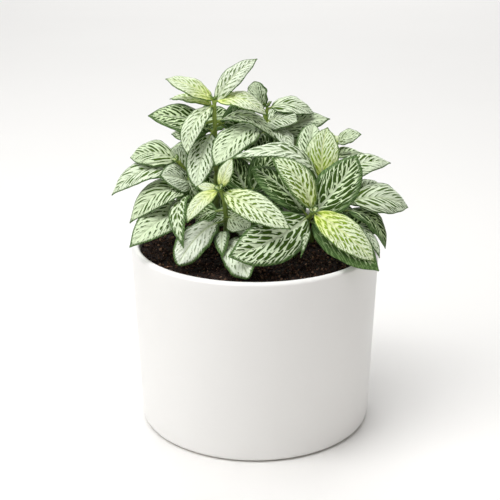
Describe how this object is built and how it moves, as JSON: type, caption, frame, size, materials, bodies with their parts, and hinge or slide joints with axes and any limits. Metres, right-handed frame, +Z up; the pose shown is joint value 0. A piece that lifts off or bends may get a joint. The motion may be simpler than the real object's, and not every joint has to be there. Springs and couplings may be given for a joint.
{
  "type": "potted nerve plant",
  "caption": "Small bushy house plant with white-netted green leaves on upright shoots, growing in soil in a smooth round white planter with a flat foot.",
  "frame": {"origin": "middle of the pot's flat foot, on the surface that the pot stands on", "axes": "+Z up along the pot's axis; -Y towards the side that faces the viewer of the picture; +X to the right as seen from that side"},
  "size_m": [0.1529, 0.1455, 0.1913],
  "materials": {
    "glaze": "satin",
    "soil": "matte",
    "leaf": "satin"
  },
  "bodies": {
    "root": {"pot": "glaze", "soil": "soil", "shoot_tall_left": "leaf", "shoot_left": "leaf", "shoot_front_left": "leaf", "shoot_front_right": "leaf", "shoot_right": "leaf", "shoot_back_middle": "leaf", "shoot_middle": "leaf", "shoot_far_right": "leaf", "shoot_back_right": "leaf", "shoot_back_left": "leaf", "shoot_back": "leaf"}
  },
  "joints": []
}
